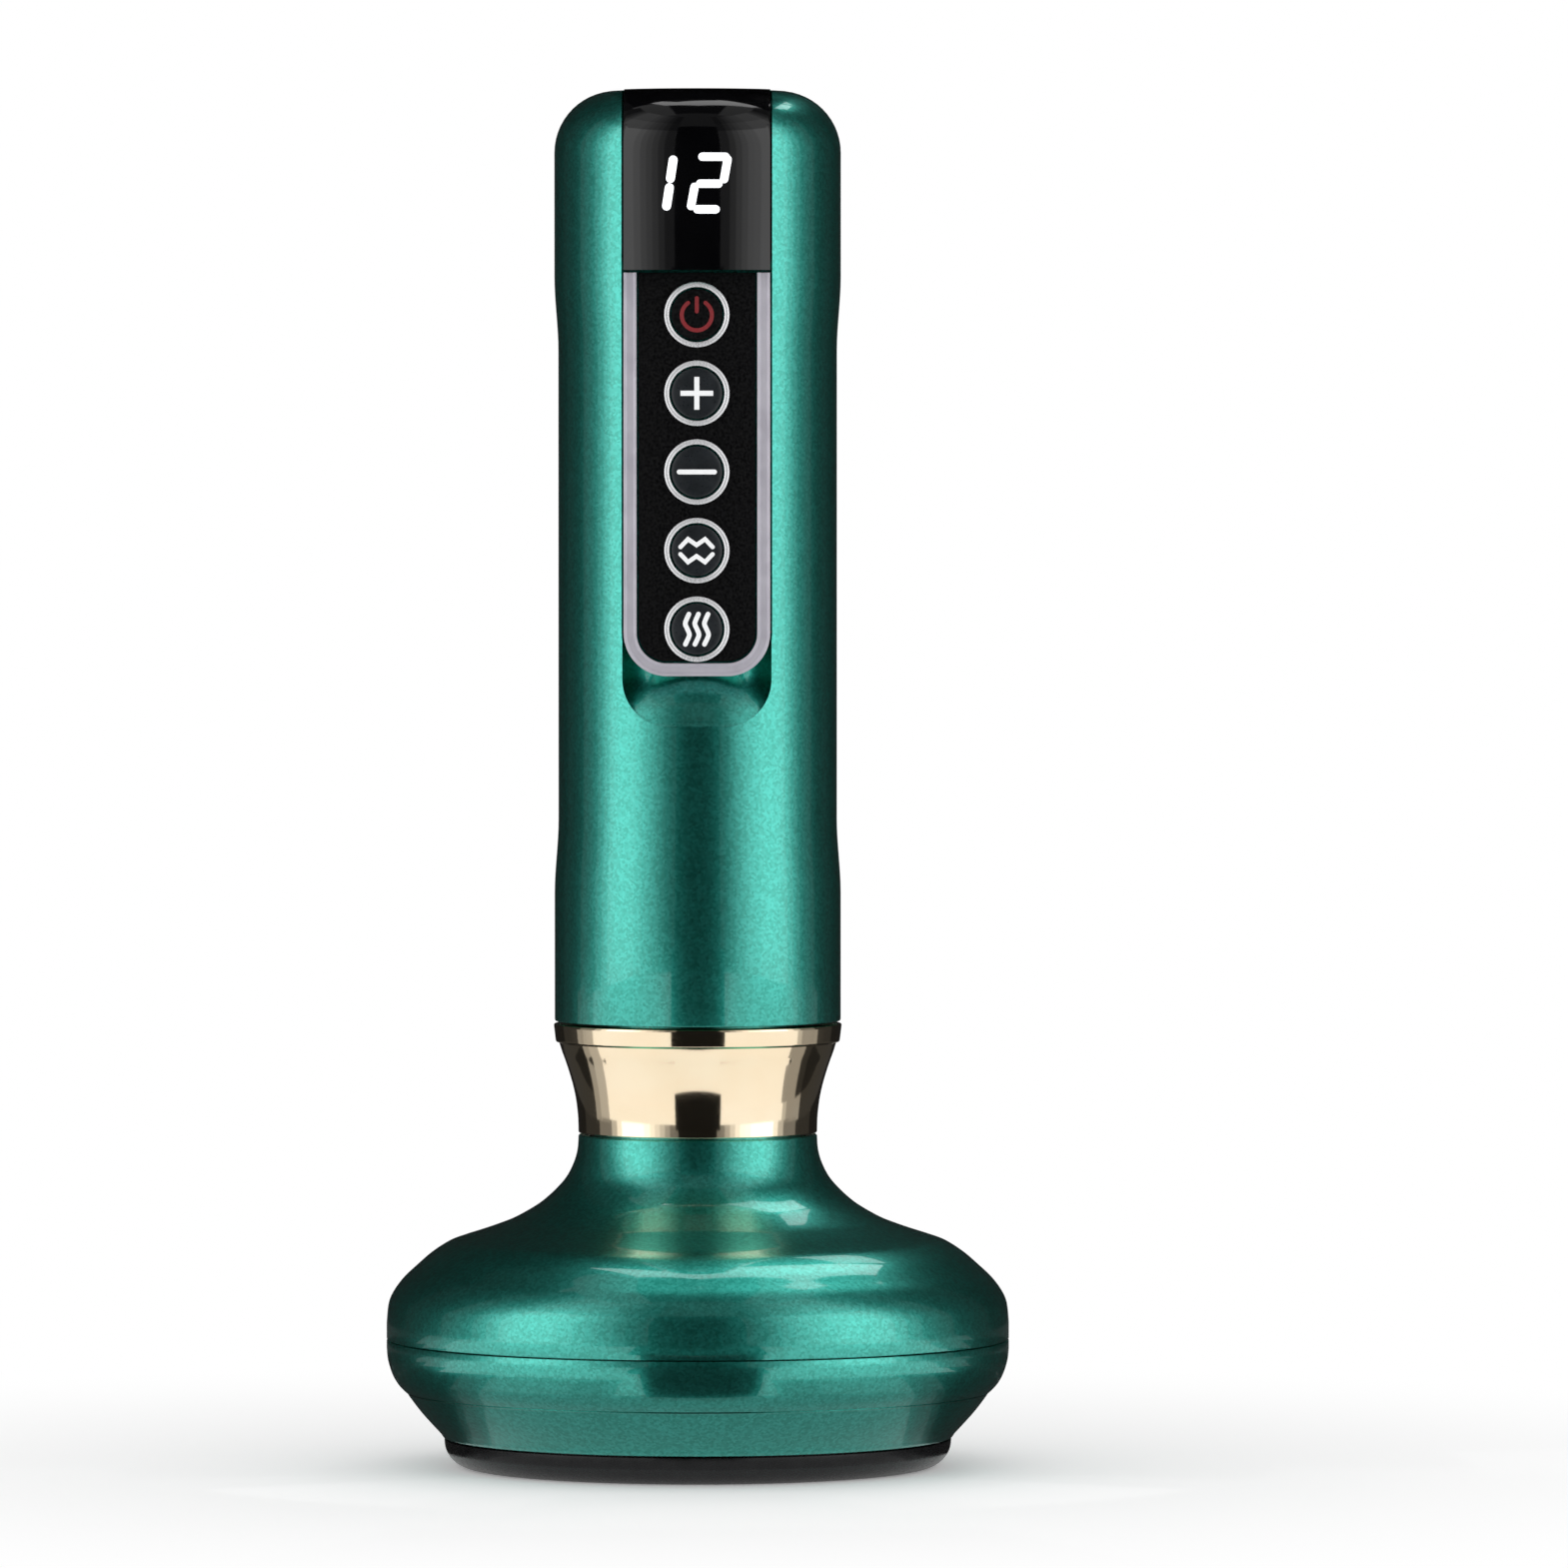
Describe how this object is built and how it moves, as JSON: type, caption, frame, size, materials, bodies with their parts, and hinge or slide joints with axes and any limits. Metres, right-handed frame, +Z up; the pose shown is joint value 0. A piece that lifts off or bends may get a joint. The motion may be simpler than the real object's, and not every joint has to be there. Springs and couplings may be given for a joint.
{
  "type": "cupping massager",
  "caption": "Handheld suction massager: round green handle with display and keypad, gold collar, round head with rolling steel balls round a suction cup.",
  "frame": {"origin": "middle of the base, on the surface the object stands on", "axes": "+Z up along the handle's axis, -Y towards the side with the keypad and display"},
  "size_m": [0.096, 0.096, 0.2121],
  "materials": {
    "green_paint": "metallic green paint with fine flake under gloss clear coat",
    "gold_plate": "polished pale gold plating",
    "silver_trim": "satin silver plating",
    "black_gloss": "piano black gloss",
    "black_matt": "fine grained matt black",
    "cap_black": "satin dark grey with printed icons",
    "steel": "polished",
    "ball_steel": "polished balls",
    "grey_plastic": "moulded grey",
    "white_plastic": "moulded white",
    "silicone": "soft milky silicone",
    "board_green": "solder mask",
    "heater_film": "amber film",
    "cell_wrap": "shrink wrap"
  },
  "bodies": {
    "housing": {"front_shell": "green_paint", "rear_shell": "green_paint", "display_window": "black_gloss", "keypad_panel": "black_matt", "panel_trim": "silver_trim", "bezel_power": "silver_trim", "bezel_plus": "silver_trim", "bezel_minus": "silver_trim", "bezel_mode": "silver_trim", "bezel_heat": "silver_trim", "control_board": "board_green", "switch_power": "black_matt", "switch_plus": "black_matt", "switch_minus": "black_matt", "switch_mode": "black_matt", "switch_heat": "black_matt", "display_module": "black_gloss", "charging_port": "steel", "battery_cell": "cell_wrap", "battery_cradle": "grey_plastic", "motor_can": "steel", "motor_cradle": "grey_plastic", "pump_body": "white_plastic", "pump_diaphragm": "silicone", "pump_hose": "silicone", "signal_cable": "black_matt", "shell_screw_left": "steel", "shell_screw_right": "steel", "gold_collar": "gold_plate", "head_upper_cover": "green_paint", "head_lower_ring": "green_paint", "head_frame": "grey_plastic", "head_screw_1": "steel", "head_screw_2": "steel", "frame_screw_1": "steel", "frame_screw_2": "steel", "frame_screw_3": "steel", "contact_plate": "black_matt", "ball_retainer": "grey_plastic", "suction_cup": "black_matt", "cup_gasket": "silicone", "heater_disc": "heater_film", "temperature_sensor": "black_matt", "release_valve": "white_plastic", "valve_hose": "silicone"},
    "power_button": {"cap_power": "cap_black"},
    "plus_button": {"cap_plus": "cap_black"},
    "minus_button": {"cap_minus": "cap_black"},
    "mode_button": {"cap_mode": "cap_black"},
    "heat_button": {"cap_heat": "cap_black"},
    "pump_rotor": {"motor_rotor": "steel"},
    "plunger": {"valve_plunger": "steel"},
    "ball_1": {"massage_ball_1": "ball_steel"},
    "ball_2": {"massage_ball_2": "ball_steel"},
    "ball_3": {"massage_ball_3": "ball_steel"},
    "ball_4": {"massage_ball_4": "ball_steel"},
    "ball_5": {"massage_ball_5": "ball_steel"},
    "ball_6": {"massage_ball_6": "ball_steel"},
    "ball_7": {"massage_ball_7": "ball_steel"},
    "ball_8": {"massage_ball_8": "ball_steel"}
  },
  "joints": [
    {"name": "press_power", "type": "slide", "parent": "housing", "child": "power_button", "axis": [0, 1, 0], "range_m": [0, 0.0004], "stiffness_N_per_m": 1000},
    {"name": "press_plus", "type": "slide", "parent": "housing", "child": "plus_button", "axis": [0, 1, 0], "range_m": [0, 0.0004], "stiffness_N_per_m": 1000},
    {"name": "press_minus", "type": "slide", "parent": "housing", "child": "minus_button", "axis": [0, 1, 0], "range_m": [0, 0.0004], "stiffness_N_per_m": 1000},
    {"name": "press_mode", "type": "slide", "parent": "housing", "child": "mode_button", "axis": [0, 1, 0], "range_m": [0, 0.0004], "stiffness_N_per_m": 1000},
    {"name": "press_heat", "type": "slide", "parent": "housing", "child": "heat_button", "axis": [0, 1, 0], "range_m": [0, 0.0004], "stiffness_N_per_m": 1000},
    {"name": "rotor_spin", "type": "hinge", "parent": "housing", "child": "pump_rotor", "pos_m": [0, 0.00548, 0.0928], "axis": [0, 0, 1], "continuous": true},
    {"name": "plunger_slide", "type": "slide", "parent": "housing", "child": "plunger", "axis": [0, 1, 0], "range_m": [0, 0.0012], "stiffness_N_per_m": 200},
    {"name": "ball_1_roll", "type": "hinge", "parent": "housing", "child": "ball_1", "pos_m": [0.0292, 0, 0.00465], "axis": [1, 0, 0], "continuous": true},
    {"name": "ball_2_roll", "type": "hinge", "parent": "housing", "child": "ball_2", "pos_m": [0.02065, 0.02065, 0.00465], "axis": [1, 0, 0], "continuous": true},
    {"name": "ball_3_roll", "type": "hinge", "parent": "housing", "child": "ball_3", "pos_m": [0, 0.0292, 0.00465], "axis": [1, 0, 0], "continuous": true},
    {"name": "ball_4_roll", "type": "hinge", "parent": "housing", "child": "ball_4", "pos_m": [-0.02065, 0.02065, 0.00465], "axis": [1, 0, 0], "continuous": true},
    {"name": "ball_5_roll", "type": "hinge", "parent": "housing", "child": "ball_5", "pos_m": [-0.0292, 0, 0.00465], "axis": [1, 0, 0], "continuous": true},
    {"name": "ball_6_roll", "type": "hinge", "parent": "housing", "child": "ball_6", "pos_m": [-0.02065, -0.02065, 0.00465], "axis": [1, 0, 0], "continuous": true},
    {"name": "ball_7_roll", "type": "hinge", "parent": "housing", "child": "ball_7", "pos_m": [0, -0.0292, 0.00465], "axis": [1, 0, 0], "continuous": true},
    {"name": "ball_8_roll", "type": "hinge", "parent": "housing", "child": "ball_8", "pos_m": [0.02065, -0.02065, 0.00465], "axis": [1, 0, 0], "continuous": true}
  ]
}
